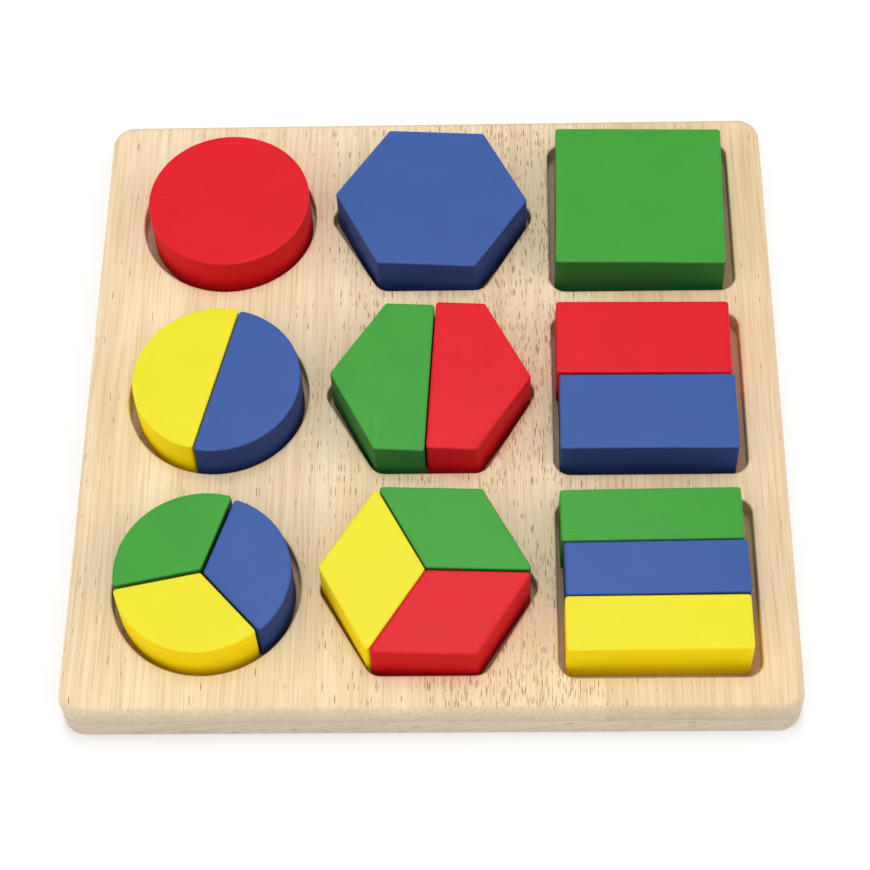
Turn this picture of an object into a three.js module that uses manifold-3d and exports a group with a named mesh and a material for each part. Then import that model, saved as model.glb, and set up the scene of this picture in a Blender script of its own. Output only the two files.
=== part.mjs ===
// Wooden shape puzzle: a board of two glued layers with nine recesses, in a column of discs, a column
// of hexagons and a column of squares. Each column holds its shape whole, sawn in halves and in thirds.
import * as THREE from "three";
import { mergeVertices } from "three/addons/utils/BufferGeometryUtils.js";
import Module from "manifold-3d";

const wasm = await Module();
wasm.setup();

// Driving dimensions in millimetres. +Z is up, -Y is the near edge, the origin is under the middle.

// Board: the top panel is cut right through, and the base panel closes the recesses from below.
const TOP_PANEL_THICK = 6;
const BASE_PANEL_THICK = 8;
const BOARD_CORNER = 7;
const TOP_ROUNDOVER = 2.5;
const BOTTOM_ROUNDOVER = 1;
const DISC_MARGIN = 12.9;
const SQUARE_MARGIN = 11.2;
const END_MARGIN = 10.6;
const COLUMN_WEB = 4.85;
const ROW_WEB = 8.7;

// Blocks: one height for all, so that every piece can stand on the base panel and be gripped.
const BLOCK_HEIGHT = 17;
const BLOCK_EDGE = 0.6;
const BLOCK_CORNER = 1;
const DISC_DIAMETER = 50.5;
const HEXAGON_FLATS = 52;
const SQUARE_SIDE = 52.2;
const SAW_GAP = 0.3;

// The rhombi are sawn with longer sides than true thirds of the whole hexagon would have.
const RHOMBUS_OVERSIZE = 0.4;

// What sanding takes off the depth of each sawn bar.
const BAR_LOSS = 0.25;

// Recesses: the play is the room that a whole block has on each side.
const DISC_PLAY = 2;
const HEXAGON_PLAY = 1.7;
const SQUARE_PLAY = 2.55;
const RECESS_CORNER = 5;
const RECESS_RIM = 0.6;

// Direction of the first saw cut in the sawn discs, in degrees from +X.
const HALF_DISC_CUT = 77;
const THIRD_DISC_CUT = 72;

// Facets of a full circle, of a rounded corner and of a rounded edge.
const CIRCLE_STEPS = 48;
const BOARD_CORNER_STEPS = 8;
const RECESS_CORNER_STEPS = 4;
const BLOCK_CORNER_STEPS = 2;
const BLOCK_EDGE_STEPS = 2;
const ROUNDOVER_STEPS = 4;

// How far a cutting tool runs past the faces that it cuts.
const OVERRUN = 1;

// Paints and bare wood.
const RED = 0xe32736;
const BLUE = 0x4463a7;
const GREEN = 0x48a240;
const YELLOW = 0xf2e63a;
const PALE_WOOD = 0xeed2ac;
const PAINT_ROUGHNESS = 0.45;
const WOOD_ROUGHNESS = 0.7;

// Sizes that follow from the ones above.
const BOARD_THICK = TOP_PANEL_THICK + BASE_PANEL_THICK;
const SIXTH_TURN = Math.PI / 3;
const HEXAGON_SIDE = HEXAGON_FLATS / Math.sqrt(3);
const RHOMBUS_SIDE = HEXAGON_SIDE + RHOMBUS_OVERSIZE;
const DISC_RECESS = DISC_DIAMETER + 2 * DISC_PLAY;
const HEXAGON_RECESS = HEXAGON_FLATS + 2 * HEXAGON_PLAY;
const HEXAGON_RECESS_CORNERS = (2 * HEXAGON_RECESS) / Math.sqrt(3);
const SQUARE_RECESS = SQUARE_SIDE + 2 * SQUARE_PLAY;
const ROW_PITCH = Math.max(DISC_RECESS, HEXAGON_RECESS, SQUARE_RECESS) + ROW_WEB;
const BOARD_DEPTH = 3 * ROW_PITCH - ROW_WEB + 2 * END_MARGIN;
const RECESSES_WIDTH = DISC_RECESS + HEXAGON_RECESS_CORNERS + SQUARE_RECESS + 2 * COLUMN_WEB;
const BOARD_WIDTH = DISC_MARGIN + RECESSES_WIDTH + SQUARE_MARGIN;
const DISC_COLUMN = DISC_MARGIN + DISC_RECESS / 2 - BOARD_WIDTH / 2;
const HEXAGON_COLUMN = DISC_COLUMN + DISC_RECESS / 2 + COLUMN_WEB + HEXAGON_RECESS_CORNERS / 2;
const SQUARE_COLUMN = BOARD_WIDTH / 2 - SQUARE_MARGIN - SQUARE_RECESS / 2;

// Plan outlines

// A point of an outline, with the radius that its corner is rounded to.
function corner(x, y, radius = 0) {
  return { at: new THREE.Vector2(x, y), radius };
}

// Replaces each sharp corner by an arc that is tangent to the sides beside it.
function roundCorners(corners, steps) {
  const points = [];
  corners.forEach((current, index) => {
    if (current.radius === 0) {
      points.push(current.at);
      return;
    }
    const before = corners[(index + corners.length - 1) % corners.length].at;
    const after = corners[(index + 1) % corners.length].at;
    const toBefore = before.clone().sub(current.at).normalize();
    const toAfter = after.clone().sub(current.at).normalize();
    const halfAngle = Math.acos(toBefore.dot(toAfter)) / 2;
    const bisector = toBefore.add(toAfter).normalize();
    const centre = current.at.clone().addScaledVector(bisector, current.radius / Math.sin(halfAngle));
    const facing = bisector.angle() + Math.PI;
    const sweep = Math.PI / 2 - halfAngle;
    const arc = new THREE.EllipseCurve(
      centre.x, centre.y, current.radius, current.radius, facing - sweep, facing + sweep);
    points.push(...arc.getPoints(steps));
  });
  return points;
}

// A rectangle about the origin.
function rectangle(width, depth, radius, steps) {
  const x = width / 2;
  const y = depth / 2;
  const signs = [[1, -1], [1, 1], [-1, 1], [-1, -1]];
  return roundCorners(signs.map(([sx, sy]) => corner(sx * x, sy * y, radius)), steps);
}

// A regular hexagon about the origin, with two corners on the X axis.
function hexagon(flats, radius, steps) {
  const reach = flats / Math.sqrt(3);
  const corners = [];
  for (let k = 0; k < 6; k += 1) {
    corners.push(corner(reach * Math.cos(k * SIXTH_TURN), reach * Math.sin(k * SIXTH_TURN), radius));
  }
  return roundCorners(corners, steps);
}

// A full circle about the origin.
function circle(diameter) {
  const radius = diameter / 2;
  const ring = new THREE.EllipseCurve(0, 0, radius, radius, 0, 2 * Math.PI);
  return ring.getPoints(CIRCLE_STEPS).slice(0, CIRCLE_STEPS);
}

// One of the equal sectors of a sawn disc, about the +X axis, with half a saw gap off each flat side.
function sector(parts) {
  const radius = DISC_DIAMETER / 2;
  const halfGap = SAW_GAP / 2;
  const halfAngle = Math.PI / parts - Math.asin(halfGap / radius);
  const apex = halfGap / Math.sin(Math.PI / parts);
  const arc = new THREE.EllipseCurve(0, 0, radius, radius, -halfAngle, halfAngle);
  const rim = arc.getPoints(CIRCLE_STEPS / parts).map((point) => corner(point.x, point.y));
  rim[0].radius = BLOCK_CORNER;
  rim[rim.length - 1].radius = BLOCK_CORNER;
  const tip = parts > 2 ? [corner(apex, 0, BLOCK_CORNER)] : [];
  return roundCorners([...tip, ...rim], BLOCK_CORNER_STEPS);
}

// The half of a hexagon on the +X side, sawn from the middle of one flat to the middle of the other.
function halfHexagon() {
  const flat = HEXAGON_FLATS / 2;
  const cut = SAW_GAP / 2;
  const places = [
    [cut, -flat], [HEXAGON_SIDE / 2, -flat], [HEXAGON_SIDE, 0], [HEXAGON_SIDE / 2, flat], [cut, flat]];
  return roundCorners(places.map(([x, y]) => corner(x, y, BLOCK_CORNER)), BLOCK_CORNER_STEPS);
}

// The third of a hexagon whose outer corner is on the +X axis: a rhombus, short of the middle by the gap.
function rhombus() {
  const inner = SAW_GAP / 2 / Math.sin(SIXTH_TURN);
  const middle = inner + RHOMBUS_SIDE / 2;
  const wide = RHOMBUS_SIDE * Math.sin(SIXTH_TURN);
  const places = [[inner, 0], [middle, -wide], [inner + RHOMBUS_SIDE, 0], [middle, wide]];
  return roundCorners(places.map(([x, y]) => corner(x, y, BLOCK_CORNER)), BLOCK_CORNER_STEPS);
}

// One of the equal bars of a sawn square, counted from the back.
function bar(parts, index) {
  const pitch = (SQUARE_SIDE + SAW_GAP) / parts - BAR_LOSS;
  const depth = pitch - SAW_GAP;
  const back = ((parts - 1) / 2 - index) * pitch;
  const outline = rectangle(SQUARE_SIDE, depth, BLOCK_CORNER, BLOCK_CORNER_STEPS);
  return outline.map((point) => new THREE.Vector2(point.x, point.y + back));
}

// Solids

// A plate of an outline, from a low to a high level, with its edges rounded within its own size.
function plate(outline, low, high, edge, edgeSteps) {
  const shape = new THREE.Shape(outline);
  const geometry = new THREE.ExtrudeGeometry(shape, {
    depth: high - low - 2 * edge,
    bevelEnabled: edge > 0,
    bevelThickness: edge,
    bevelSize: edge,
    bevelOffset: -edge,
    bevelSegments: edgeSteps,
  });
  return geometry.translate(0, 0, low + edge);
}

// A tool that chamfers the rim of an outline that was cut down from a level.
function rimTool(outline, level, width) {
  const shape = new THREE.Shape(outline);
  const geometry = new THREE.ExtrudeGeometry(shape, {
    depth: OVERRUN,
    bevelThickness: width,
    bevelSize: width,
    bevelSegments: 1,
  });
  return geometry.translate(0, 0, level);
}

// A box that holds the whole board in plan, from a low to a high level.
function slab(low, high) {
  const geometry = new THREE.BoxGeometry(BOARD_WIDTH + 2 * OVERRUN, BOARD_DEPTH + 2 * OVERRUN, high - low);
  return geometry.translate(0, 0, (low + high) / 2);
}

// Turns a closed geometry into a solid that can be cut.
function solid(geometry) {
  const bare = geometry.clone();
  bare.deleteAttribute("normal");
  bare.deleteAttribute("uv");
  const merged = mergeVertices(bare);
  return new wasm.Manifold(new wasm.Mesh({
    numProp: 3,
    vertProperties: new Float32Array(merged.attributes.position.array),
    triVerts: new Uint32Array(merged.index.array),
  }));
}

// Turns a solid back into a geometry.
function geometryOf(body) {
  const mesh = body.getMesh();
  const geometry = new THREE.BufferGeometry();
  geometry.setAttribute("position", new THREE.BufferAttribute(new Float32Array(mesh.vertProperties), 3));
  geometry.setIndex(new THREE.BufferAttribute(new Uint32Array(mesh.triVerts), 1));
  geometry.computeVertexNormals();
  return geometry;
}

// Recesses: one centre and outline for each column, repeated in three rows.

const ROWS = { back: ROW_PITCH, middle: 0, front: -ROW_PITCH };
const COLUMNS = {
  disc: { x: DISC_COLUMN, play: DISC_PLAY, outline: circle(DISC_RECESS) },
  hexagon: {
    x: HEXAGON_COLUMN,
    play: HEXAGON_PLAY,
    outline: hexagon(HEXAGON_RECESS, RECESS_CORNER, RECESS_CORNER_STEPS),
  },
  square: {
    x: SQUARE_COLUMN,
    play: SQUARE_PLAY,
    outline: rectangle(SQUARE_RECESS, SQUARE_RECESS, RECESS_CORNER, RECESS_CORNER_STEPS),
  },
};

// How far a block with this many corners can turn before they meet its recess, in radians.
function freeTurn(sides, width, recess) {
  const halfSector = Math.PI / sides;
  const cornerReach = width / 2 / Math.cos(halfSector);
  return halfSector - Math.acos(Math.min(1, recess / 2 / cornerReach));
}
const HEXAGON_TURN = freeTurn(6, HEXAGON_FLATS, HEXAGON_RECESS);
const SQUARE_TURN = freeTurn(4, SQUARE_SIDE, SQUARE_RECESS);

// Board

const boardOutline = rectangle(BOARD_WIDTH, BOARD_DEPTH, BOARD_CORNER, BOARD_CORNER_STEPS);

// The top panel: rounded over above, flat at the glue line, with nine recesses cut right through.
function topPanel() {
  const low = BASE_PANEL_THICK;
  const blank = plate(boardOutline, low - 2 * TOP_ROUNDOVER, BOARD_THICK, TOP_ROUNDOVER, ROUNDOVER_STEPS);
  let panel = solid(blank).intersect(solid(slab(low, BOARD_THICK + OVERRUN)));
  for (const { x, outline } of Object.values(COLUMNS)) {
    for (const y of Object.values(ROWS)) {
      const hole = plate(outline, low - OVERRUN, BOARD_THICK + OVERRUN, 0, 1).translate(x, y, 0);
      const rim = rimTool(outline, BOARD_THICK, RECESS_RIM).translate(x, y, 0);
      panel = panel.subtract(solid(hole)).subtract(solid(rim));
    }
  }
  return geometryOf(panel);
}

// The base panel: flat at the glue line, with a small round on its lower edge.
function basePanel() {
  const high = BASE_PANEL_THICK;
  const blank = plate(boardOutline, 0, high + 2 * BOTTOM_ROUNDOVER, BOTTOM_ROUNDOVER, BLOCK_EDGE_STEPS);
  return geometryOf(solid(blank).intersect(solid(slab(-OVERRUN, high))));
}

// Blocks

const puzzle = new THREE.Group();
puzzle.name = "wooden_shape_puzzle";

// Adds one named piece to the puzzle.
function addPiece(name, geometry, color, roughness) {
  const material = new THREE.MeshStandardMaterial({ color, roughness, metalness: 0 });
  const mesh = new THREE.Mesh(geometry, material);
  mesh.name = name;
  puzzle.add(mesh);
  return mesh;
}

// Adds a block that stands on the base panel. It lies off the middle of its recess by shares of the play,
// to the right and to the back, and is turned about that middle by an angle in radians.
function addBlock(name, color, outline, column, row, lie) {
  const geometry = plate(outline, 0, BLOCK_HEIGHT, BLOCK_EDGE, BLOCK_EDGE_STEPS);
  const block = addPiece(name, geometry, color, PAINT_ROUGHNESS);
  const { x, play } = COLUMNS[column];
  block.position.set(x + lie.right * play, ROWS[row] + lie.back * play, BASE_PANEL_THICK);
  block.rotation.z = lie.turn;
}

addPiece("base_panel", basePanel(), PALE_WOOD, WOOD_ROUGHNESS);
addPiece("top_panel", topPanel(), PALE_WOOD, WOOD_ROUGHNESS);

// Discs: a half turn or a third of a turn takes one sawn piece to the next.
const halfCut = THREE.MathUtils.degToRad(HALF_DISC_CUT);
const thirdCut = THREE.MathUtils.degToRad(THIRD_DISC_CUT);
addBlock("red_disc", RED, circle(DISC_DIAMETER), "disc", "back", { right: 0.3, back: 0.1, turn: 0 });
addBlock("blue_half_disc", BLUE, sector(2), "disc", "middle",
  { right: 0.2, back: -0.35, turn: halfCut - Math.PI / 2 });
addBlock("yellow_half_disc", YELLOW, sector(2), "disc", "middle",
  { right: 0.2, back: -0.2, turn: halfCut + Math.PI / 2 });
addBlock("blue_third_disc", BLUE, sector(3), "disc", "front",
  { right: 0.1, back: -0.15, turn: thirdCut - SIXTH_TURN });
addBlock("green_third_disc", GREEN, sector(3), "disc", "front",
  { right: -0.15, back: 0.3, turn: thirdCut + SIXTH_TURN });
addBlock("yellow_third_disc", YELLOW, sector(3), "disc", "front",
  { right: -0.2, back: -0.05, turn: thirdCut + Math.PI });

// Hexagons: the sets lie turned by part of their free turn.
const wholeHexagon = hexagon(HEXAGON_FLATS, BLOCK_CORNER, BLOCK_CORNER_STEPS);
const wholeLean = -0.45 * HEXAGON_TURN;
const halfLean = -0.4 * HEXAGON_TURN;
const thirdLean = -0.25 * HEXAGON_TURN;
addBlock("blue_hexagon", BLUE, wholeHexagon, "hexagon", "back", { right: 0, back: 0.1, turn: wholeLean });
addBlock("red_half_hexagon", RED, halfHexagon(), "hexagon", "middle",
  { right: 0.2, back: 0.2, turn: halfLean });
addBlock("green_half_hexagon", GREEN, halfHexagon(), "hexagon", "middle",
  { right: 0.1, back: -0.4, turn: halfLean + Math.PI });
addBlock("green_rhombus", GREEN, rhombus(), "hexagon", "front",
  { right: -0.3, back: 0.3, turn: thirdLean + SIXTH_TURN });
addBlock("yellow_rhombus", YELLOW, rhombus(), "hexagon", "front",
  { right: -0.3, back: 0.15, turn: thirdLean + Math.PI });
addBlock("red_rhombus", RED, rhombus(), "hexagon", "front",
  { right: -0.35, back: 0.1, turn: thirdLean - SIXTH_TURN });

// Squares: the bars lie one behind the other, each a little off the next.
const wholeSquare = rectangle(SQUARE_SIDE, SQUARE_SIDE, BLOCK_CORNER, BLOCK_CORNER_STEPS);
addBlock("green_square", GREEN, wholeSquare, "square", "back",
  { right: -0.2, back: 0.1, turn: -0.2 * SQUARE_TURN });
addBlock("red_half_square", RED, bar(2, 0), "square", "middle",
  { right: -0.6, back: -0.1, turn: -0.1 * SQUARE_TURN });
addBlock("blue_half_square", BLUE, bar(2, 1), "square", "middle",
  { right: -0.3, back: -0.2, turn: -0.05 * SQUARE_TURN });
addBlock("green_third_square", GREEN, bar(3, 0), "square", "front",
  { right: -0.5, back: 0.15, turn: 0.1 * SQUARE_TURN });
addBlock("blue_third_square", BLUE, bar(3, 1), "square", "front",
  { right: -0.2, back: 0.15, turn: 0.1 * SQUARE_TURN });
addBlock("yellow_third_square", YELLOW, bar(3, 2), "square", "front",
  { right: -0.3, back: 0.1, turn: 0.05 * SQUARE_TURN });

export default puzzle;
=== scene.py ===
"""Looks of a wooden shape puzzle: painted blocks in a board of bare wood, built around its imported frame."""
import logging
import math
from dataclasses import dataclass, field
from enum import Enum
from typing import Callable, Sequence

import bmesh
import bpy
from mathutils import Euler, Matrix, Vector


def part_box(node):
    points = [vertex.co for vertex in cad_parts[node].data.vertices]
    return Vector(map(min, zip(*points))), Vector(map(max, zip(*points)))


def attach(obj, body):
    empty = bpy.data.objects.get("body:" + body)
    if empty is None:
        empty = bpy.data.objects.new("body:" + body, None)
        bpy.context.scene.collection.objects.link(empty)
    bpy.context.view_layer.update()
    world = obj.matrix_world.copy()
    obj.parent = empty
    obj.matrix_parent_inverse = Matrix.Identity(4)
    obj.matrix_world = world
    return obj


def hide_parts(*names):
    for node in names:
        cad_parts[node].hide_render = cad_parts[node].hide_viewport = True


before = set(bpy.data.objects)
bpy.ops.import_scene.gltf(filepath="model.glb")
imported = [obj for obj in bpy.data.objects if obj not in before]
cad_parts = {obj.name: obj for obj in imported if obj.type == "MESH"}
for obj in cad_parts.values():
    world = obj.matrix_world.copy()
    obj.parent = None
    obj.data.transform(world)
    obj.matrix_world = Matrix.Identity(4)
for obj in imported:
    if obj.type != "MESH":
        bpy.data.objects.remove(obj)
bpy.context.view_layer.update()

log = logging.getLogger("shape_puzzle")

MM = 0.001
IMAGE_SIDE = 870
QUARTER_TURN = math.pi / 2
SIXTH_TURN = math.pi / 3
SHARP_ANGLE = math.radians(50)
# Most of a noise's values lie in this range
NOISE_RANGE = (0.3, 0.7)

Colour = tuple[float, float, float, float]
Ring = list[Vector]
Section = list[tuple[float, float]]
VertRing = list[bmesh.types.BMVert]
Socket = bpy.types.NodeSocket

BLACK: Colour = (0, 0, 0, 1)
WHITE: Colour = (1, 1, 1, 1)


class Column(Enum):
    """The three columns of recesses, from left to right."""

    DISC = "disc"
    HEXAGON = "hexagon"
    SQUARE = "square"


class Row(Enum):
    """The three rows of recesses, as a count of row pitches from the middle of the board."""

    BACK = 1
    MIDDLE = 0
    FRONT = -1


class Cut(Enum):
    """How many blocks were sawn from a whole shape."""

    WHOLE = 1
    HALF = 2
    THIRD = 3


class Paint(Enum):
    """The four paints, named as the record's material slots are."""

    RED = "red_paint"
    BLUE = "blue_paint"
    GREEN = "green_paint"
    YELLOW = "yellow_paint"


# Outlines in plan


def round_corners(corners: Sequence[tuple[float, float, float]], steps: int) -> Ring:
    """Replaces sharp corners by arcs that are tangent to the sides beside them.

    Args:
        corners: x, y and rounding radius of each corner, counter-clockwise. A radius of 0 keeps the point.
        steps: Segments of each arc.

    Returns:
        The points of the rounded outline.
    """
    points: Ring = []
    for index, (x, y, radius) in enumerate(corners):
        here = Vector((x, y))
        if radius == 0:
            points.append(here)
            continue
        to_before = (Vector(corners[index - 1][:2]) - here).normalized()
        to_after = (Vector(corners[(index + 1) % len(corners)][:2]) - here).normalized()
        half_angle = to_before.angle(to_after) / 2
        bisector = (to_before + to_after).normalized()
        centre = here + bisector * (radius / math.sin(half_angle))
        facing = math.atan2(-bisector.y, -bisector.x)
        sweep = QUARTER_TURN - half_angle
        for k in range(steps + 1):
            angle = facing - sweep + 2 * sweep * k / steps
            points.append(centre + radius * Vector((math.cos(angle), math.sin(angle))))
    return points


def rectangle(width: float, depth: float, radius: float, steps: int) -> Ring:
    """Outline of a rectangle with rounded corners about the origin."""
    signs = ((1, -1), (1, 1), (-1, 1), (-1, -1))
    return round_corners([(sx * width / 2, sy * depth / 2, radius) for sx, sy in signs], steps)


def hexagon(flats: float, radius: float, steps: int) -> Ring:
    """Outline of a regular hexagon with two corners on the X axis."""
    reach = flats / math.sqrt(3)
    angles = [k * SIXTH_TURN for k in range(6)]
    return round_corners([(reach * math.cos(a), reach * math.sin(a), radius) for a in angles], steps)


def circle(diameter: float, steps: int) -> Ring:
    """Outline of a circle about the origin."""
    angles = [2 * math.pi * k / steps for k in range(steps)]
    return [Vector((math.cos(a), math.sin(a))) * diameter / 2 for a in angles]


def quarter_round(level: float, radius: float, steps: int) -> Section:
    """Section of an edge that is rounded over below a level.

    Args:
        level: The level of the face above the edge.
        radius: Radius of the round.
        steps: Segments of the round.

    Returns:
        Inset and level of each point, from the side up to the face.
    """
    angles = [QUARTER_TURN * k / steps for k in range(steps + 1)]
    return [(radius * (1 - math.cos(a)), level - radius * (1 - math.sin(a))) for a in angles]


# Node trees


class NodeMaker:
    """Places nodes in a tree and links them, so that a tree reads as a list of steps."""

    def __init__(self, tree: bpy.types.NodeTree) -> None:
        """Keeps the tree that the nodes go into."""
        self.tree = tree

    def feed(self, target: Socket, value: object) -> None:
        """Gives an input another node's socket, or a value of its own."""
        if isinstance(value, Socket):
            self.tree.links.new(value, target)
        else:
            target.default_value = value

    def add(self, kind: str, inputs: dict | None = None, **settings: object) -> bpy.types.Node:
        """Adds one node.

        Args:
            kind: The node's type.
            inputs: Values or other nodes' sockets by input name or index.
            settings: Properties of the node itself.

        Returns:
            The new node.
        """
        node = self.tree.nodes.new(kind)
        for name, value in settings.items():
            setattr(node, name, value)
        for key, value in (inputs or {}).items():
            self.feed(node.inputs[key], value)
        return node

    def math(self, operation: str, a: object, b: object = 0.0, clamp: bool = False) -> Socket:
        """Adds a Math node and returns its result."""
        return self.add("ShaderNodeMath", {0: a, 1: b}, operation=operation, use_clamp=clamp).outputs[0]

    def vector(self, operation: str, a: object, b: object) -> bpy.types.Node:
        """Adds a Vector Math node and returns it."""
        return self.add("ShaderNodeVectorMath", {0: a, 1: b}, operation=operation)

    def noise(self, vector: Socket, detail: int) -> Socket:
        """Adds a noise texture of unit scale and returns its value."""
        values = {"Vector": vector, "Scale": 1.0, "Detail": detail}
        return self.add("ShaderNodeTexNoise", values).outputs[0]

    def step(self, value: object, low: float, high: float, to_low: float = 0, to_high: float = 1) -> Socket:
        """Maps a value smoothly from one range to another and returns the result."""
        values = {"Value": value, "From Min": low, "From Max": high, "To Min": to_low, "To Max": to_high}
        return self.add("ShaderNodeMapRange", values, interpolation_type="SMOOTHSTEP").outputs["Result"]

    def mix(self, share: object, a: object, b: object, blend: str = "MIX") -> Socket:
        """Mixes two colours and returns the result."""
        node = self.add("ShaderNodeMix", {0: share, 6: a, 7: b}, data_type="RGBA", blend_type=blend)
        return node.outputs[2]

    def stain_and_shade(self, share: object, colour: object, tint: object) -> Socket:
        """Multiplies a colour by a tint where a mask is set, and returns the result; it lays real tints and
        painted shade alike.
        """
        return self.mix(share, colour, tint, "MULTIPLY")

    def mask(self, attribute: str) -> Socket:
        """Reads a mask that is stored on the mesh."""
        return self.add("ShaderNodeAttribute", attribute_name=attribute).outputs["Fac"]


def new_material(name: str) -> tuple[bpy.types.Material, NodeMaker, bpy.types.NodeInputs]:
    """Makes a material, and returns it with a node maker and the inputs of its shader."""
    material = bpy.data.materials.new(name)
    material.use_nodes = True
    tree = material.node_tree
    return material, NodeMaker(tree), tree.nodes["Principled BSDF"].inputs


@dataclass(frozen=True)
class WoodGrain:
    """Shader group of solid wood, with its fibres along X of a place that is given in millimetres."""

    name: str = "wood_grain"
    fibre_length: float = 50.0
    fibre_width: float = 1.3
    line_length: float = 22.0
    line_width: float = 0.42
    band_length: float = 240.0
    band_width: float = 15.0
    drift: float = 3.0
    drift_length: float = 50.0
    drift_width: float = 20.0
    pore_length: float = 4.2
    pore_gap: float = 0.45
    pore_reach: tuple[float, float] = (0.24, 0.5)
    pore_edge: float = 0.3
    pore_depth: tuple[float, float] = (0.6, 1.0)
    patch_length: float = 28.0
    patch_width: float = 14.0
    patch_share: tuple[float, float] = (0.3, 1.7)

    def group(self) -> bpy.types.NodeTree:
        """Builds the group once, with outputs for fibres, fine lines, pores and broad bands."""
        if self.name in bpy.data.node_groups:
            return bpy.data.node_groups[self.name]
        tree = bpy.data.node_groups.new(self.name, "ShaderNodeTree")
        tree.interface.new_socket("Place", in_out="INPUT", socket_type="NodeSocketVector")
        tree.interface.new_socket("Crowding", in_out="INPUT", socket_type="NodeSocketFloat")
        for output in ("Fibres", "Lines", "Bands", "Pores"):
            tree.interface.new_socket(output, in_out="OUTPUT", socket_type="NodeSocketFloat")
        make = NodeMaker(tree)
        given = make.add("NodeGroupInput").outputs
        place = given["Place"]
        wander = self.streaks(make, place, self.drift_length, self.drift_width, detail=1)
        drift = make.add("ShaderNodeCombineXYZ", {1: make.math("MULTIPLY", wander, self.drift)})
        bent = make.vector("ADD", place, drift.outputs[0]).outputs[0]
        patches = self.streaks(make, place, self.patch_length, self.patch_width, detail=1)
        patchy = make.step(patches, *NOISE_RANGE, *self.patch_share)
        share = make.math("MULTIPLY", patchy, given["Crowding"])
        values = {
            "Fibres": self.streaks(make, bent, self.fibre_length, self.fibre_width, detail=3),
            "Lines": self.streaks(make, bent, self.line_length, self.line_width, detail=2),
            "Bands": self.streaks(make, bent, self.band_length, self.band_width, detail=2),
            "Pores": self.pores(make, bent, share),
        }
        make.add("NodeGroupOutput", values)
        return tree

    @staticmethod
    def streaks(make: NodeMaker, place: Socket, length: float, width: float, detail: int) -> Socket:
        """Adds a noise that is drawn out along the fibres, and returns its value."""
        return make.noise(make.vector("DIVIDE", place, (length, width, width)).outputs[0], detail)

    def pores(self, make: NodeMaker, place: Socket, share: Socket) -> Socket:
        """Adds the short dark pores that lie along the fibres.

        Args:
            make: Node maker of the group.
            place: Place that follows the fibres' drift.
            share: How many of the places for a pore hold one, from 0 to 1.

        Returns:
            The pores' mask, from 0 to 1.
        """
        cells = make.vector("DIVIDE", place, (self.pore_length, self.pore_gap, self.pore_gap)).outputs[0]
        voronoi = make.add("ShaderNodeTexVoronoi", {"Vector": cells, "Scale": 1.0, "Randomness": 1.0})
        chance = make.add("ShaderNodeSeparateColor", {0: voronoi.outputs["Color"]}).outputs
        chosen = make.math("LESS_THAN", chance[0], share)
        reach = make.step(chance[1], 0, 1, *self.pore_reach)
        gone = make.math("DIVIDE", voronoi.outputs["Distance"], reach)
        dash = make.step(make.math("SUBTRACT", 1.0, gone, clamp=True), 0, self.pore_edge)
        depth = make.step(chance[2], 0, 1, *self.pore_depth)
        return make.math("MULTIPLY", make.math("MULTIPLY", dash, chosen), depth)


# Finishes


@dataclass(frozen=True)
class Stave:
    """One of the glued strips of a panel: where it begins on X, its tint and its share of the pores."""

    seam: float
    tint: Colour
    pores: float


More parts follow.
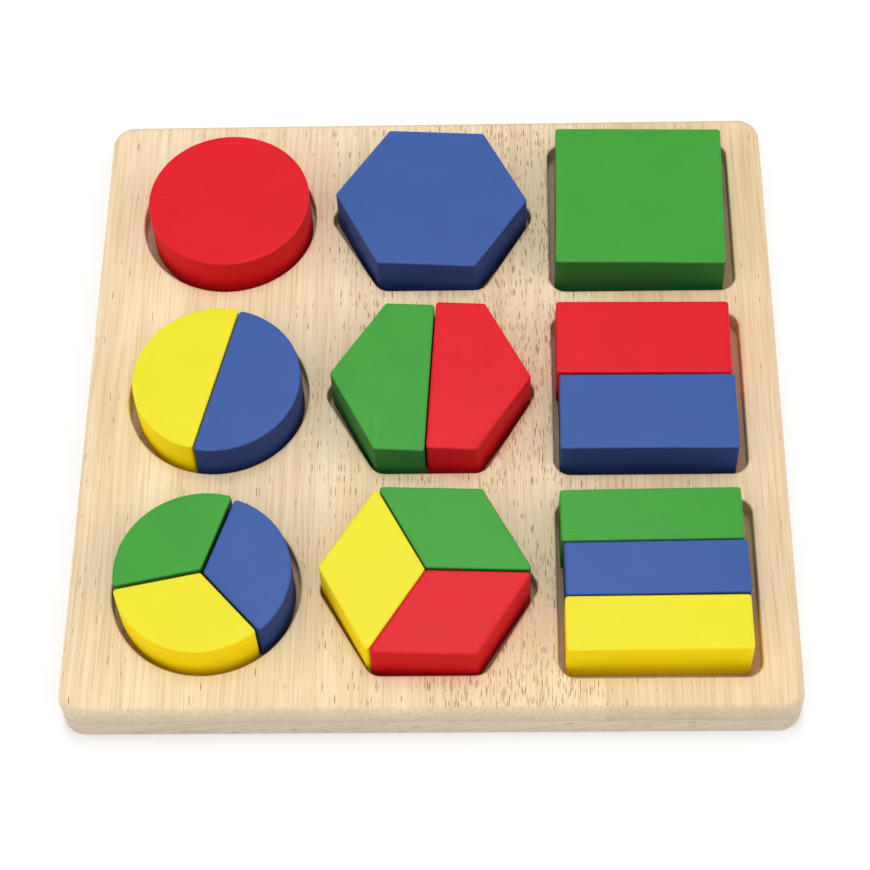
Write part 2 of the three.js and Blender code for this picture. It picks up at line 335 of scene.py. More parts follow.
@dataclass(frozen=True)
class BareWood:
    """Fine-sanded pale wood: fibres along one axis, darker where the fibres end, as end grain deepened by
    painted shade, and with painted shade inside the recesses.
    """

    name: str
    turn: Euler
    shift: Vector
    pale: Colour
    deep: Colour
    # The end grain's own darker, greyer tone, deepened as painted shade on the board's edge faces.
    end_grain_and_shade_tint: Colour
    staves: tuple[Stave, ...] = ()
    stave_jump: float = 61.0
    pore: Colour = (0.32, 0.13, 0.042, 1)
    pore_belt: float = 0.0
    belt_reach: float = 78 * MM
    crowding: tuple[float, float] = (0.12, 0.12)
    # Painted shade inside the recesses: the walls and the floors are darkened and warmed, where little light
    # reaches.
    recess_wall_shade: Colour = (0.98, 0.88, 0.76, 1)
    recess_floor_shade: Colour = (0.96, 0.86, 0.76, 1)
    band_share: float = 0.35
    fibre_range: tuple[float, float] = (0.36, 0.7)
    fibre_share: float = 0.42
    line_range: tuple[float, float] = (0.46, 0.74)
    line_share: float = 0.72
    line_relief: float = 0.35
    pore_share: float = 0.95
    end_facing: float = 0.55
    end_grain: float = 0.75
    end_pores: float = 0.35
    specular: float = 0.5
    roughness: tuple[float, float] = (0.56, 0.44)
    bump: float = 0.05
    relief: float = 0.2 * MM

    def material(self) -> bpy.types.Material:
        """Builds the material.

        Returns:
            The finished material.
        """
        material, make, shader = new_material(self.name)
        spot = make.add("ShaderNodeTexCoord").outputs["Object"]
        across = make.add("ShaderNodeSeparateXYZ", {0: spot}).outputs[0]
        grain = make.add("ShaderNodeGroup", node_tree=WoodGrain().group())
        make.feed(grain.inputs["Place"], self.place(make, spot, across))
        make.feed(grain.inputs["Crowding"], self.crowd(make, across))
        out = grain.outputs
        ridges = make.math("MULTIPLY", out["Lines"], self.line_relief)
        height = make.math("SUBTRACT", ridges, out["Pores"])
        relief = {"Strength": self.bump, "Distance": self.relief, "Height": height}
        bump = make.add("ShaderNodeBump", relief)
        shader["Specular IOR Level"].default_value = self.specular
        make.feed(shader["Base Color"], self.colour(make, out, across))
        make.feed(shader["Roughness"], make.step(out["Fibres"], *NOISE_RANGE, *self.roughness))
        make.feed(shader["Normal"], bump.outputs[0])
        return material

    def place(self, make: NodeMaker, spot: Socket, across: Socket) -> Socket:
        """Works out the place in the wood, in millimetres along its fibres, with a jump at each stave.

        Args:
            make: Node maker of the material.
            spot: Place on the object, in metres.
            across: Place on the object along X.

        Returns:
            The place in the wood.
        """
        scale = (1 / MM, 1 / MM, 1 / MM)
        values = {"Vector": spot, "Location": self.shift, "Rotation": self.turn, "Scale": scale}
        place = make.add("ShaderNodeMapping", values).outputs[0]
        for stave in self.staves:
            beyond = make.math("GREATER_THAN", across, stave.seam)
            jump = make.math("MULTIPLY", beyond, self.stave_jump)
            offset = make.add("ShaderNodeCombineXYZ", {0: jump, 2: jump}).outputs[0]
            place = make.vector("ADD", place, offset).outputs[0]
        return place

    def crowd(self, make: NodeMaker, across: Socket) -> Socket:
        """Works out how close together the pores lie.

        Args:
            make: Node maker of the material.
            across: Place on the object along X.

        Returns:
            The share of places for a pore that hold one.
        """
        away = make.math("ABSOLUTE", make.math("SUBTRACT", across, self.pore_belt))
        crowding = make.step(away, 0, self.belt_reach, *self.crowding)
        for stave in self.staves:
            beyond = make.math("GREATER_THAN", across, stave.seam)
            crowding = make.math("MULTIPLY", crowding, make.step(beyond, 0, 1, 1, stave.pores))
        return crowding

    def colour(self, make: NodeMaker, grain: bpy.types.NodeOutputs, across: Socket) -> Socket:
        """Mixes the wood's colour from its grain, its staves, the end grain's tone deepened by painted shade,
        and painted shade in the recesses.

        Args:
            make: Node maker of the material.
            grain: Outputs of the grain group.
            across: Place on the object along X.

        Returns:
            The colour.
        """
        normal = make.add("ShaderNodeNewGeometry").outputs["Normal"]
        along = self.turn.to_matrix().transposed() @ Vector((1, 0, 0))
        facing = make.vector("DOT_PRODUCT", normal, along).outputs["Value"]
        ends = make.step(make.math("ABSOLUTE", facing), 0, self.end_facing)
        bands = make.step(grain["Bands"], *NOISE_RANGE, 0, self.band_share)
        fibres = make.step(grain["Fibres"], *self.fibre_range, 0, self.fibre_share)
        lines = make.step(grain["Lines"], *self.line_range, 0, self.line_share)
        share = make.math("ADD", bands, make.math("ADD", fibres, lines), clamp=True)
        share = make.math("MULTIPLY", share, make.step(ends, 0, 1, 1, self.end_grain))
        colour = make.mix(share, self.pale, self.deep)
        tint: Socket | Colour = WHITE
        for stave in self.staves:
            tint = make.mix(make.math("GREATER_THAN", across, stave.seam), tint, stave.tint)
        colour = make.stain_and_shade(1.0, colour, tint)
        darkness = make.step(ends, 0, 1, self.pore_share, self.end_pores)
        pores = make.math("MULTIPLY", grain["Pores"], darkness)
        colour = make.mix(pores, colour, self.pore)
        # End faces: the end grain's tone, deepened as painted shade.
        colour = make.stain_and_shade(ends, colour, self.end_grain_and_shade_tint)
        # Painted shade on the recess walls and floors.
        colour = make.stain_and_shade(make.mask("recess_wall"), colour, self.recess_wall_shade)
        return make.stain_and_shade(make.mask("recess_floor"), colour, self.recess_floor_shade)


@dataclass(frozen=True)
class SatinPaint:
    """Satin paint on sanded wood: the fibres show faintly, the sides are duller, and their colour is the
    top's set deeper, as painted shade.
    """

    slot: Paint
    top: Colour
    # The side colour is the top colour set deeper and more saturated, as painted shade where the sides face
    # away from the light.
    side: Colour
    # The worn colour is lighter paint on the rounded edges: real wear, and a painted highlight along them.
    worn_and_highlit: Colour
    specular: float = 0.12
    top_roughness: float = 0.31
    side_roughness: float = 0.6
    cloud_size: float = 16.0
    cloud_share: float = 0.05
    line_range: tuple[float, float] = (0.55, 0.76)
    line_share: float = 0.06
    pore_share: float = 0.14
    crowding: float = 0.07
    top_facing: tuple[float, float] = (0.35, 0.9)
    wear_and_highlight_range: tuple[float, float] = (0.4, 0.65)
    wear_and_highlight: tuple[float, float] = (0.15, 0.5)
    bump: float = 0.008
    relief: float = 0.1 * MM

    def material(self) -> bpy.types.Material:
        """Builds the material.

        Returns:
            The finished material.
        """
        material, make, shader = new_material("satin_" + self.slot.value)
        place = make.add("ShaderNodeAttribute", attribute_name="grain_place").outputs["Vector"]
        grain = make.add("ShaderNodeGroup", node_tree=WoodGrain().group())
        make.feed(grain.inputs["Place"], place)
        make.feed(grain.inputs["Crowding"], self.crowding)
        out = grain.outputs
        normal = make.add("ShaderNodeNewGeometry").outputs["Normal"]
        upward = make.add("ShaderNodeSeparateXYZ", {0: normal}).outputs[2]
        rough = make.step(upward, *self.top_facing, self.side_roughness, self.top_roughness)
        relief = {"Strength": self.bump, "Distance": self.relief, "Height": out["Lines"]}
        bump = make.add("ShaderNodeBump", relief)
        shader["Specular IOR Level"].default_value = self.specular
        make.feed(shader["Base Color"], self.colour(make, out, place, upward))
        make.feed(shader["Roughness"], rough)
        make.feed(shader["Normal"], bump.outputs[0])
        return material

    def colour(self, make: NodeMaker, grain: bpy.types.NodeOutputs, place: Socket, upward: Socket) -> Socket:
        """Mixes the paint's colour: painted shade on the sides, the grain, and worn edges with a painted
        highlight.

        Args:
            make: Node maker of the material.
            grain: Outputs of the grain group.
            place: Place in the wood, in millimetres.
            upward: How far the surface faces up.

        Returns:
            The colour.
        """
        # Painted shade: faces that turn away from up take the deeper side colour.
        colour = make.mix(make.step(upward, *self.top_facing), self.side, self.top)
        cloud = WoodGrain.streaks(make, place, self.cloud_size, self.cloud_size, detail=2)
        clouds = make.step(cloud, *NOISE_RANGE, 0, self.cloud_share)
        lines = make.step(grain["Lines"], *self.line_range, 0, self.line_share)
        pores = make.math("MULTIPLY", grain["Pores"], self.pore_share)
        for shade in (clouds, lines, pores):
            colour = make.mix(shade, colour, BLACK)
        # Worn edges, lightened also as a painted highlight along them.
        rubbed_and_highlit = make.step(cloud, *self.wear_and_highlight_range, *self.wear_and_highlight)
        worn_and_highlit = make.math("MULTIPLY", make.mask("edge_wear_and_highlight"), rubbed_and_highlit)
        return make.mix(worn_and_highlit, colour, self.worn_and_highlit)


TOP_WOOD = BareWood(
    name="bare_wood_front_to_back",
    turn=Euler((0, 0, QUARTER_TURN)),
    shift=Vector((0, 0, 0)),
    pale=(0.915, 0.745, 0.502, 1),
    deep=(0.715, 0.52, 0.296, 1),
    end_grain_and_shade_tint=(0.83, 0.835, 0.9, 1),
    staves=(Stave(49 * MM, (0.93, 0.9, 0.85, 1), 0.15), Stave(88 * MM, (0.94, 0.89, 0.845, 1), 1.0)),
    pore_belt=24 * MM,
    crowding=(0.7, 0.03),
)
# The base panel's own wood, set darker and greyer than the top's, in part as painted shade on the lower layer
# near the floor.
BASE_WOOD = BareWood(
    name="bare_wood_left_to_right",
    turn=Euler((0, math.radians(15), 0)),
    shift=Vector((37, 11, 5)),
    pale=(0.72, 0.59, 0.445, 1),
    deep=(0.56, 0.43, 0.3, 1),
    end_grain_and_shade_tint=(0.93, 0.89, 0.86, 1),
)
# Each paint's side colour is its top colour as painted shade, and its worn colour also serves as a painted
# highlight on the edges.
PAINTS = (
    SatinPaint(
        slot=Paint.RED,
        top=(0.72, 0.008, 0.0205, 1),
        side=(0.63, 0.0055, 0.0105, 1),
        worn_and_highlit=(0.82, 0.035, 0.045, 1),
    ),
    SatinPaint(
        slot=Paint.BLUE,
        top=(0.0425, 0.1065, 0.35, 1),
        side=(0.021, 0.047, 0.18, 1),
        worn_and_highlit=(0.09, 0.16, 0.42, 1),
    ),
    SatinPaint(
        slot=Paint.GREEN,
        top=(0.0515, 0.334, 0.0405, 1),
        side=(0.027, 0.16, 0.028, 1),
        worn_and_highlit=(0.095, 0.41, 0.07, 1),
    ),
    SatinPaint(
        slot=Paint.YELLOW,
        top=(0.835, 0.742, 0.023, 1),
        side=(0.96, 0.73, 0.0, 1),
        worn_and_highlit=(0.92, 0.84, 0.09, 1),
        cloud_share=0.03,
        line_share=0.015,
        pore_share=0.05,
    ),
)


# Pieces


def new_object(name: str, data: bpy.types.ID) -> bpy.types.Object:
    """Makes an object of some data, at the origin, and links it to the scene."""
    made = bpy.data.objects.new(name, data)
    bpy.context.scene.collection.objects.link(made)
    return made


def add_piece(name: str, data: bpy.types.Mesh) -> bpy.types.Object:
    """Makes a smooth-shaded object of a mesh, with its sharp edges kept.

    Args:
        name: Name of the piece.
        data: The mesh.

    Returns:
        The new object, at the origin.
    """
    data.name = name
    data.shade_smooth()
    data.set_sharp_from_angle(angle=SHARP_ANGLE)
    return new_object(name, data)


def tie(piece: bpy.types.Object, body: str, node: str) -> None:
    """Ties a piece to its body, hides the node that it stands for, and reports how far it lies off that
    node's box.

    Args:
        piece: The finished piece.
        body: The body that it moves with.
        node: The node that it stands for.
    """
    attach(piece, body)
    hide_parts(node)
    low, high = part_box(node)
    corners = [piece.matrix_world @ Vector(c) for c in piece.bound_box]
    own_low = Vector(min(c[k] for c in corners) for k in range(3))
    own_high = Vector(max(c[k] for c in corners) for k in range(3))
    off = max((own_low - low).length, (own_high - high).length) / MM
    faces = len(piece.data.polygons)
    log.info("%s stands for %s: %d faces, %.2f mm off its box", piece.name, node, faces, off)


class RingStack:
    """A mesh made of closed rings that are bridged one to the next, and flat faces between rings."""

    def __init__(self) -> None:
        """Starts an empty mesh with its masks."""
        self.mesh = bmesh.new()
        # Masks of where the wood takes painted shade: the recess walls and the recess floors.
        masks = ("recess_wall", "recess_floor")
        self.masks = {name: self.mesh.verts.layers.float.new(name) for name in masks}

    def ring(self, points: Ring, level: float) -> VertRing:
        """Adds the vertices of one ring."""
        return [self.mesh.verts.new((p.x, p.y, level)) for p in points]

    def bridge(self, rings: list[VertRing]) -> None:
        """Joins each ring to the next with a band of faces."""
        for lower, upper in zip(rings, rings[1:]):
            for k in range(len(lower)):
                after = (k + 1) % len(lower)
                self.mesh.faces.new((lower[k], lower[after], upper[after], upper[k]))

    def mark(self, name: str, rings: list[VertRing]) -> None:
        """Sets a mask on the vertices of some rings."""
        for ring in rings:
            for vert in ring:
                vert[self.masks[name]] = 1.0

    def fill(self, rings: list[VertRing]) -> None:
        """Fills the flat face inside the first ring and outside the others."""
        edges = []
        for ring in rings:
            for k, vert in enumerate(ring):
                edges.append(self.mesh.edges.get((vert, ring[(k + 1) % len(ring)])))
        bmesh.ops.triangle_fill(self.mesh, use_beauty=True, edges=edges, normal=(0, 0, 1))

    def finish(self, name: str) -> bpy.types.Object:
        """Closes the mesh and makes an object of it.

        Args:
            name: Name of the piece.

        Returns:
            The new object, at the origin.
        """
        bmesh.ops.recalc_face_normals(self.mesh, faces=self.mesh.faces)
        data = bpy.data.meshes.new(name)
        self.mesh.to_mesh(data)
        self.mesh.free()
        return add_piece(name, data)


# Board


@dataclass
class Board:
    """The board: a top panel with nine recesses, glued to a base panel that closes them."""

    body: str = "board"
    slot: str = "bare_wood"
    corner: float = 7 * MM
    top_round: float = 2.5 * MM
    bottom_round: float = 1 * MM
    recess_corner: float = 5 * MM
    rim_round: float = 0.6 * MM
    disc_recess: float = 54.5 * MM
    hexagon_recess: float = 55.4 * MM
    square_recess: float = 57.3 * MM
    disc_margin: float = 12.9 * MM
    square_margin: float = 11.2 * MM
    row_web: float = 8.7 * MM
    support: float = 0.35 * MM
    glue_easing: float = 0.15 * MM
    top_steps: int = 8
    small_steps: int = 4
    corner_steps: int = 16
    circle_steps: int = 128

    def __post_init__(self) -> None:
        """Reads the outer size and the levels from the frame, and sets out the columns and rows."""
        low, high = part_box("top_panel")
        self.width = high.x - low.x
        self.depth = high.y - low.y
        self.glue = low.z
        self.top = high.z
        disc_end = low.x + self.disc_margin + self.disc_recess
        square_start = high.x - self.square_margin - self.square_recess
        self.columns = {
            Column.DISC: disc_end - self.disc_recess / 2,
            Column.HEXAGON: (disc_end + square_start) / 2,
            Column.SQUARE: square_start + self.square_recess / 2,
        }
        self.row_pitch = self.square_recess + self.row_web

    def recess(self, column: Column, grow: float) -> Ring:
        """Outline of a column's recess about its own middle, grown on every side."""
        radius = self.recess_corner + grow
        if column is Column.DISC:
            return circle(self.disc_recess + 2 * grow, self.circle_steps)
        if column is Column.HEXAGON:
            return hexagon(self.hexagon_recess + 2 * grow, radius, self.corner_steps)
        side = self.square_recess + 2 * grow
        return rectangle(side, side, radius, self.corner_steps)

    def outline(self, inset: float) -> Ring:
        """Outline of the board, moved inwards on every side."""
        width = self.width - 2 * inset
        depth = self.depth - 2 * inset
        return rectangle(width, depth, self.corner - inset, self.corner_steps)

    def build(self) -> None:
        """Makes both panels, gives each its wood, and ties them to the frame."""
        panels = {"top_panel": (self.build_top(), TOP_WOOD), "base_panel": (self.build_base(), BASE_WOOD)}
        for node, (panel, wood) in panels.items():
            panel.data.materials.append(wood.material())
            tie(panel, self.body, node)

    def build_top(self) -> bpy.types.Object:
        """Makes the top panel, rounded over at its upper edge and eased at each recess's rim."""
        stack = RingStack()
        section = [(self.glue_easing, self.glue), (0.0, self.glue + self.glue_easing)]
        section += quarter_round(self.top, self.top_round, self.top_steps)
        section.append((self.top_round + self.support, self.top))
        rings = [stack.ring(self.outline(inset), level) for inset, level in section]
        stack.bridge(rings)
        lower_edges = [rings[0]]
        upper_edges = [rings[-1]]
        for column, x in self.columns.items():
            for row in Row:
                walls = self.recess_rings(stack, column, Vector((x, row.value * self.row_pitch)))
                stack.bridge(walls)
                # These rings carry the painted shade of the recess wall.
                stack.mark("recess_wall", walls[:2])
                lower_edges.append(walls[0])
                upper_edges.append(walls[-1])
        stack.fill(lower_edges)
        stack.fill(upper_edges)
        return stack.finish("board_top_panel")

    def recess_rings(self, stack: RingStack, column: Column, place: Vector) -> list[VertRing]:
        """Adds the rings of one recess, from the glue line up its wall and over its rim.

        Args:
            stack: Ring stack of the panel.
            column: The recess's column.
            place: The recess's middle.

        Returns:
            The rings, from the lowest up.
        """
        section = [(0.0, self.glue), *quarter_round(self.top, self.rim_round, self.small_steps)]
        section.append((self.rim_round + self.support, self.top))
        return [stack.ring([p + place for p in self.recess(column, grow)], z) for grow, z in section]

    def build_base(self) -> bpy.types.Object:
        """Makes the base panel, with a small round on its lower edge."""
        stack = RingStack()
        upside_down = quarter_round(0.0, self.bottom_round, self.small_steps)
        section = [(self.bottom_round + self.support, 0.0)]
        section += [(inset, -level) for inset, level in reversed(upside_down)]
        section += [(0.0, self.glue - self.glue_easing), (self.glue_easing, self.glue)]
        rings = [stack.ring(self.outline(inset), level) for inset, level in section]
        stack.bridge(rings)
        # The glued top face shows only inside the recesses, and carries their painted shade.
        stack.mark("recess_floor", rings[-1:])
        stack.fill([rings[0]])
        stack.fill([rings[-1]])
        return stack.finish("board_base_panel")


# Blocks


@dataclass(frozen=True)
class BlockNodes:
    """Geometry Nodes tree that raises a closed outline into a block with rounded edges."""

    name: str = "eased_block"
    lengths: tuple[str, ...] = ("Low", "High", "Edge", "Inset")
    merge: float = 1e-6

    def tree(self) -> bpy.types.NodeTree:
        """Builds the tree once.

        Returns:
            The tree, with named inputs for the block's sizes and its finish.
        """
        if self.name in bpy.data.node_groups:
            return bpy.data.node_groups[self.name]
        tree = bpy.data.node_groups.new(self.name, "GeometryNodeTree")
        tree.is_modifier = True
        tree.interface.new_socket("Outline", in_out="INPUT", socket_type="NodeSocketGeometry")
        for name in self.lengths:
            tree.interface.new_socket(name, in_out="INPUT", socket_type="NodeSocketFloat")
        tree.interface.new_socket("Edge Steps", in_out="INPUT", socket_type="NodeSocketInt")
        tree.interface.new_socket("Finish", in_out="INPUT", socket_type="NodeSocketMaterial")
        tree.interface.new_socket("Block", in_out="OUTPUT", socket_type="NodeSocketGeometry")
        make = NodeMaker(tree)
        given = make.add("NodeGroupInput").outputs
        path = make.add("GeometryNodeMeshToCurve", {"Mesh": given["Outline"]}).outputs[0]
        path = make.add("GeometryNodeSetCurveNormal", {"Curve": path}, mode="Z_UP").outputs[0]
        swept = {"Curve": path, "Profile Curve": self.section(make, given)}
        side = make.add("GeometryNodeCurveToMesh", swept).outputs[0]
        cap = self.cap(make, given, path)
        high_cap = self.at_level(make, cap, given["High"])
        low_cap = make.add("GeometryNodeFlipFaces", {"Mesh": self.at_level(make, cap, given["Low"])})
        joined = make.add("GeometryNodeJoinGeometry")
        for part in (side, low_cap.outputs[0], high_cap):
            make.feed(joined.inputs[0], part)
        merging = {"Geometry": joined.outputs[0], "Distance": self.merge}
        merged = make.add("GeometryNodeMergeByDistance", merging).outputs[0]
        real = make.add("GeometryNodeRealizeInstances", {"Geometry": merged}).outputs[0]
        dressed = make.add("GeometryNodeSetMaterial", {"Geometry": real, "Material": given["Finish"]})
        make.add("NodeGroupOutput", {0: dressed.outputs[0]})
        return tree

    @staticmethod
    def section(make: NodeMaker, given: bpy.types.NodeOutputs) -> Socket:
        """Adds the section of the side: in from the lower face, up the side and in to the upper face.

        Args:
            make: Node maker of the tree.
            given: The tree's inputs.

        Returns:
            The section's curve, whose Y runs downwards.
        """
        inner = make.math("MULTIPLY", given["Inset"], -1.0)
        top = make.math("MULTIPLY", given["High"], -1.0)
        bottom = make.math("MULTIPLY", given["Low"], -1.0)
        corners = {}
        for number, (x, y) in enumerate(((inner, top), (0.0, top), (0.0, bottom), (inner, bottom))):
            corners[f"Point {number + 1}"] = make.add("ShaderNodeCombineXYZ", {0: x, 1: y}).outputs[0]
        closed = make.add("GeometryNodeCurvePrimitiveQuadrilateral", corners, mode="POINTS").outputs[0]
        opened = make.add("GeometryNodeSetSplineCyclic", {"Geometry": closed, "Cyclic": False}).outputs[0]
        rounding = {"Curve": opened, "Radius": given["Edge"], "Limit Radius": False}
        rounded = make.add("GeometryNodeFilletCurve", rounding, mode="POLY")
        make.feed(rounded.inputs["Count"], given["Edge Steps"])
        return rounded.outputs[0]

    @staticmethod
    def cap(make: NodeMaker, given: bpy.types.NodeOutputs, path: Socket) -> Socket:
        """Adds the flat face inside the outline, in by the same strip as the section.

        Args:
            make: Node maker of the tree.
            given: The tree's inputs.
            path: The outline's curve.

        Returns:
            The face, at the outline's level.
        """
        normal = make.add("GeometryNodeInputNormal").outputs[0]
        inward = make.math("MULTIPLY", given["Inset"], -1.0)
        shift = make.add("ShaderNodeVectorMath", {0: normal, "Scale": inward}, operation="SCALE").outputs[0]
        inner = make.add("GeometryNodeSetPosition", {"Geometry": path, "Offset": shift}).outputs[0]
        return make.add("GeometryNodeFillCurve", {"Curve": inner}, mode="NGONS").outputs[0]

    @staticmethod
    def at_level(make: NodeMaker, face: Socket, level: Socket) -> Socket:
        """Moves a flat face up to a level."""
        up = make.add("ShaderNodeCombineXYZ", {2: level}).outputs[0]
        return make.add("GeometryNodeSetPosition", {"Geometry": face, "Offset": up}).outputs[0]


@dataclass(frozen=True)
class Block:
    """One painted block and how it lies in its recess, in shares of the play and as a turn in degrees."""

    node: str
    paint: Paint
    column: Column
    row: Row
    cut: Cut
    right: float
    back: float
    turn: float
    index: int = 0
    grain: float = 0.0


@dataclass
class BlockSet:
    """All the painted blocks, which share a height, rounded edges and the saw's gap."""

    board: Board
    disc: float = 50.5 * MM
    flats: float = 52 * MM
    square: float = 52.2 * MM
    saw_gap: float = 0.3 * MM
    rhombus_oversize: float = 0.4 * MM
    bar_loss: float = 0.25 * MM
    corner: float = 1 * MM
    edge: float = 0.6 * MM
    inset: float = 0.85 * MM
    half_disc_cut: float = 77.0
    third_disc_cut: float = 72.0
    hexagon_leans: tuple[float, float, float] = (-0.45, -0.4, -0.25)
    corner_steps: int = 6
    edge_steps: int = 5
    circle_steps: int = 144
    rim_clearance: float = 1.2
    own_grain: Vector = field(default_factory=lambda: Vector((113, 47, 29)))

    def play(self, column: Column) -> float:
        """Room that a whole block has on each side in its recess."""
        room = {
            Column.DISC: self.board.disc_recess - self.disc,
            Column.HEXAGON: self.board.hexagon_recess - self.flats,
            Column.SQUARE: self.board.square_recess - self.square,
        }
        return room[column] / 2

    @staticmethod
    def free_turn(sides: int, width: float, recess: float) -> float:
        """Degrees that a block can turn before its corners meet its recess."""
        half_sector = math.pi / sides
        return math.degrees(half_sector - math.acos(min(1.0, recess * math.cos(half_sector) / width)))

    def blocks(self) -> list[Block]:
        """Lists the eighteen blocks as they lie."""
        lean = self.free_turn(6, self.flats, self.board.hexagon_recess)
        skew = self.free_turn(4, self.square, self.board.square_recess)
        half_cut, third_cut = self.half_disc_cut, self.third_disc_cut
        whole_lean, half_lean, third_lean = (share * lean for share in self.hexagon_leans)
        red, blue, green, yellow = Paint
        disc, hexa, square = Column
        back, middle, front = Row
        whole, half, third = Cut
        return [
            Block("red_disc", red, disc, back, whole, 0.3, 0.1, 0),
            Block("blue_half_disc", blue, disc, middle, half, 0.2, -0.35, half_cut - 90),
            Block("yellow_half_disc", yellow, disc, middle, half, 0.2, -0.2, half_cut + 90),
            Block("blue_third_disc", blue, disc, front, third, 0.1, -0.15, third_cut - 60, grain=third_cut),
            Block("green_third_disc", green, disc, front, third, -0.15, 0.3, third_cut + 60),
            Block("yellow_third_disc", yellow, disc, front, third, -0.2, -0.05, third_cut + 180),
            Block("blue_hexagon", blue, hexa, back, whole, 0, 0.1, whole_lean),
            Block("red_half_hexagon", red, hexa, middle, half, 0.2, 0.2, half_lean, grain=90),
            Block("green_half_hexagon", green, hexa, middle, half, 0.1, -0.4, half_lean + 180, grain=90),
            Block("green_rhombus", green, hexa, front, third, -0.3, 0.3, third_lean + 60),
            Block("yellow_rhombus", yellow, hexa, front, third, -0.3, 0.15, third_lean + 180, grain=60),
            Block("red_rhombus", red, hexa, front, third, -0.35, 0.1, third_lean - 60),
            Block("green_square", green, square, back, whole, -0.2, 0.1, -0.2 * skew),
            Block("red_half_square", red, square, middle, half, -0.6, -0.1, -0.1 * skew, index=0),
            Block("blue_half_square", blue, square, middle, half, -0.3, -0.2, -0.05 * skew, index=1),
            Block("green_third_square", green, square, front, third, -0.5, 0.15, 0.1 * skew, index=0),
            Block("blue_third_square", blue, square, front, third, -0.2, 0.15, 0.1 * skew, index=1),
            Block("yellow_third_square", yellow, square, front, third, -0.3, 0.1, 0.05 * skew, index=2),
        ]

    def outline(self, block: Block) -> Ring:
        """Outline of a block about the middle of its whole shape, before it is turned."""
        makers: dict[Column, Callable[[Block], Ring]] = {
            Column.DISC: self.disc_outline,
            Column.HEXAGON: self.hexagon_outline,
            Column.SQUARE: self.square_outline,
        }
        return makers[block.column](block)

    def disc_outline(self, block: Block) -> Ring:
        """A whole disc, or a sector of it about the X axis."""
        if block.cut is Cut.WHOLE:
            return circle(self.disc, self.circle_steps)
        parts = block.cut.value
        radius = self.disc / 2
        half_gap = self.saw_gap / 2
        half_angle = math.pi / parts - math.asin(half_gap / radius)
        steps = self.circle_steps // parts
        angles = [half_angle * (2 * k / steps - 1) for k in range(steps + 1)]
        skip = math.ceil(self.rim_clearance * self.corner * steps / (2 * half_angle * radius))
        rim = [(radius * math.cos(a), radius * math.sin(a), 0.0) for a in angles[skip:-skip]]
        ends = [(radius * math.cos(a), radius * math.sin(a), self.corner) for a in (angles[0], angles[-1])]
        tip = [(half_gap / math.sin(math.pi / parts), 0.0, self.corner)] if block.cut is Cut.THIRD else []
        return round_corners([*tip, ends[0], *rim, ends[1]], self.corner_steps)

    def hexagon_outline(self, block: Block) -> Ring:
        """A whole hexagon, its half on the +X side, or the rhombus whose outer corner is on the X axis."""
        if block.cut is Cut.WHOLE:
            return hexagon(self.flats, self.corner, self.corner_steps)
        side = self.flats / math.sqrt(3)
        gap = self.saw_gap / 2
        if block.cut is Cut.HALF:
            flat = self.flats / 2
            places = [(gap, -flat), (side / 2, -flat), (side, 0), (side / 2, flat), (gap, flat)]
        else:
            long = side + self.rhombus_oversize
            wide = long * math.sin(SIXTH_TURN)
            inner = gap / math.sin(SIXTH_TURN)
            middle = inner + long / 2
            places = [(inner, 0), (middle, -wide), (inner + long, 0), (middle, wide)]
        return round_corners([(x, y, self.corner) for x, y in places], self.corner_steps)

    def square_outline(self, block: Block) -> Ring:
        """A whole square, or one of its bars counted from the back."""
        if block.cut is Cut.WHOLE:
            return rectangle(self.square, self.square, self.corner, self.corner_steps)
        parts = block.cut.value
        pitch = (self.square + self.saw_gap) / parts - self.bar_loss
        back = Vector((0, ((parts - 1) / 2 - block.index) * pitch))
        bar = rectangle(self.square, pitch - self.saw_gap, self.corner, self.corner_steps)
        return [p + back for p in bar]

    def build(self, finishes: dict[Paint, bpy.types.Material]) -> None:
        """Makes every block, and ties it to the frame.

        Args:
            finishes: Material of each paint.
        """
        for number, block in enumerate(self.blocks()):
            centre = Vector((self.board.columns[block.column], block.row.value * self.board.row_pitch))
            centre += Vector((block.right, block.back)) * self.play(block.column)
            turn = Matrix.Rotation(math.radians(block.turn), 2)
            points = [turn @ p + centre for p in self.outline(block)]
            piece = self.raise_block(block, points, finishes[block.paint])
            self.dress(piece, block, centre, number)
            tie(piece, block.node, block.node)

    def raise_block(self, block: Block, points: Ring, finish: bpy.types.Material) -> bpy.types.Object:
        """Runs the block tree on one outline and keeps the result as a plain mesh.

        Args:
            block: The block.
            points: Its outline, in place.
            finish: Its paint.

        Returns:
            The block's object, at the origin.
        """
        low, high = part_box(block.node)
        wire = bpy.data.meshes.new(block.node + "_outline")
        links = [(k, (k + 1) % len(points)) for k in range(len(points))]
        wire.from_pydata([(p.x, p.y, 0.0) for p in points], links, [])
        source = new_object(block.node + "_outline", wire)
        modifier = source.modifiers.new("block", "NODES")
        modifier.node_group = BlockNodes().tree()
        values = {
            "Low": low.z,
            "High": high.z,
            "Edge": self.edge,
            "Inset": self.inset,
            "Edge Steps": self.edge_steps,
            "Finish": finish,
        }
        for item in modifier.node_group.interface.items_tree:
            if item.in_out == "INPUT" and item.name in values:
                modifier[item.identifier] = values[item.name]
        solved = source.evaluated_get(bpy.context.evaluated_depsgraph_get())
        data = bpy.data.meshes.new_from_object(solved)
        source.modifiers.remove(modifier)
        bpy.data.objects.remove(source)
        mesh = bmesh.new()
        mesh.from_mesh(data)
        bmesh.ops.recalc_face_normals(mesh, faces=mesh.faces)
        mesh.to_mesh(data)
        mesh.free()
        return add_piece("block_" + block.node, data)

    @staticmethod
    def wear_and_highlight_at(share: float) -> float:
        """Wear and painted highlight across a rounded edge: full in its middle, and none at its ends and
        beyond.
        """
        return 4 * share * (1 - share) if 0 < share < 1 else 0.0

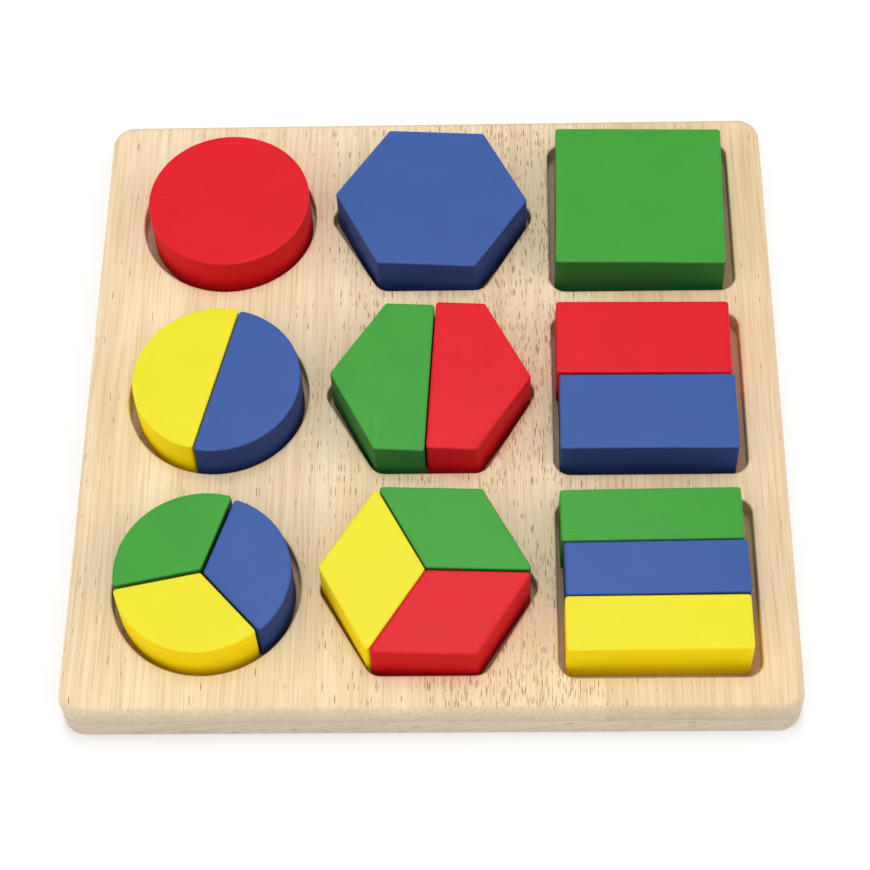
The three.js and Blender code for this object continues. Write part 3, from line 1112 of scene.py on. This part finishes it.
    def dress(self, piece: bpy.types.Object, block: Block, centre: Vector, number: int) -> None:
        """Stores where the paint wears and carries a painted highlight, and how the wood under it runs.

        Args:
            piece: The block's object.
            block: The block.
            centre: Middle of its whole shape.
            number: A number of its own, so that no two blocks share their grain.
        """
        low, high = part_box(block.node)
        # Mask of the rounded edges, for their wear and their painted highlight.
        wear_and_highlight = piece.data.attributes.new("edge_wear_and_highlight", "FLOAT", "POINT")
        place = piece.data.attributes.new("grain_place", "FLOAT_VECTOR", "POINT")
        along = Matrix.Rotation(-math.radians(block.grain), 2)
        own = self.own_grain * (number + 1)
        for vert in piece.data.vertices:
            drop = min(vert.co.z - low.z, high.z - vert.co.z) / self.edge
            wear_and_highlight.data[vert.index].value = self.wear_and_highlight_at(drop)
            flat = along @ (vert.co.xy - centre)
            place.data[vert.index].vector = Vector((flat.x, flat.y, vert.co.z)) / MM + own


# Studio


@dataclass(frozen=True)
class Lamp:
    """A soft lamp that faces the object: its place, width and height in metres, and its power in watts."""

    name: str
    place: Vector
    width: float
    height: float
    power: float

    def build(self) -> None:
        """Hangs the lamp."""
        light = bpy.data.lights.new(self.name, "AREA")
        light.energy = self.power
        light.shape = "RECTANGLE"
        light.size = self.width
        light.size_y = self.height
        lamp = new_object(self.name, light)
        lamp.location = self.place
        lamp.rotation_euler = (-self.place).to_track_quat("-Z", "Y").to_euler()


@dataclass
class Studio:
    """A plain white floor, soft light from above and a camera at the photograph's angle."""

    camera_place: Vector = field(default_factory=lambda: Vector((21.2, -375.1, 601.4)) * MM)
    camera_target: Vector = field(default_factory=lambda: Vector((0.9, -14.6, 14.0)) * MM)
    camera_roll: float = 3.3
    focal_pixels: float = 2308.0
    sensor: float = 36.0
    clip_start: float = 0.01
    floor_half: float = 3.0
    floor_white: Colour = (0.85, 0.86, 0.875, 1)
    floor_roughness: float = 0.9
    floor_lift: float = 0.15
    sky: float = 0.56
    lamps: tuple[Lamp, ...] = (
        Lamp("softbox_in_front", Vector((0.0, -1.3, 2.8)), 5.0, 1.8, 26.5),
        Lamp("softbox_behind", Vector((-0.05, 0.78, 2.45)), 0.5, 1.2, 15.0),
        Lamp("softbox_at_left", Vector((-2.0, -0.6, 0.9)), 1.6, 0.8, 9.0),
        Lamp("softbox_at_right", Vector((1.8, -0.4, 1.2)), 1.6, 0.8, 9.0),
    )

    def build(self) -> None:
        """Makes the floor, the light and the camera."""
        bpy.context.scene.view_settings.view_transform = "Standard"
        self.build_floor()
        self.build_sky()
        for lamp in self.lamps:
            lamp.build()
        self.build_camera()

    @staticmethod
    def seen(make: NodeMaker) -> Socket:
        """Mask of the rays that look at the surroundings, straight or through a reflection or glass."""
        rays = make.add("ShaderNodeLightPath").outputs
        seen = make.math("MAXIMUM", rays["Is Camera Ray"], rays["Is Glossy Ray"])
        return make.math("MAXIMUM", seen, rays["Is Transmission Ray"])

    def build_floor(self) -> None:
        """Makes the floor, which the camera sees a little lighter than it is lit."""
        half = self.floor_half
        data = bpy.data.meshes.new("floor")
        corners = [(-half, -half, 0), (half, -half, 0), (half, half, 0), (-half, half, 0)]
        data.from_pydata(corners, [], [(0, 1, 2, 3)])
        floor = new_object("floor", data)
        material, make, shader = new_material("white_floor")
        shader["Base Color"].default_value = self.floor_white
        shader["Roughness"].default_value = self.floor_roughness
        shader["Specular IOR Level"].default_value = 0.0
        shader["Emission Color"].default_value = WHITE
        make.feed(shader["Emission Strength"], make.math("MULTIPLY", self.seen(make), self.floor_lift))
        data.materials.append(material)

    def build_sky(self) -> None:
        """Lights the object evenly from all sides, from surroundings that look white."""
        world = bpy.data.worlds.new("sky")
        bpy.context.scene.world = world
        world.use_nodes = True
        make = NodeMaker(world.node_tree)
        background = world.node_tree.nodes["Background"].inputs
        background["Color"].default_value = WHITE
        make.feed(background["Strength"], make.step(self.seen(make), 0, 1, self.sky, 1))

    def build_camera(self) -> None:
        """Sets the camera where the photograph's was."""
        optics = bpy.data.cameras.new("camera")
        optics.sensor_fit = "HORIZONTAL"
        optics.sensor_width = self.sensor
        optics.lens = self.sensor * self.focal_pixels / IMAGE_SIDE
        optics.clip_start = self.clip_start
        ahead = (self.camera_target - self.camera_place).normalized()
        level = ahead.cross(Vector((0, 0, 1))).normalized()
        right = Matrix.Rotation(math.radians(self.camera_roll), 3, ahead) @ level
        pose = Matrix((right, right.cross(ahead), -ahead)).transposed().to_4x4()
        pose.translation = self.camera_place
        camera = new_object("camera", optics)
        camera.matrix_world = pose
        bpy.context.scene.camera = camera


def main() -> None:
    """Builds the studio, the board and the blocks, and reports each piece."""
    logging.basicConfig(level=logging.INFO, format="%(message)s")
    Studio().build()
    board = Board()
    board.build()
    BlockSet(board).build({paint.slot: paint.material() for paint in PAINTS})


if __name__ == "__main__":
    main()
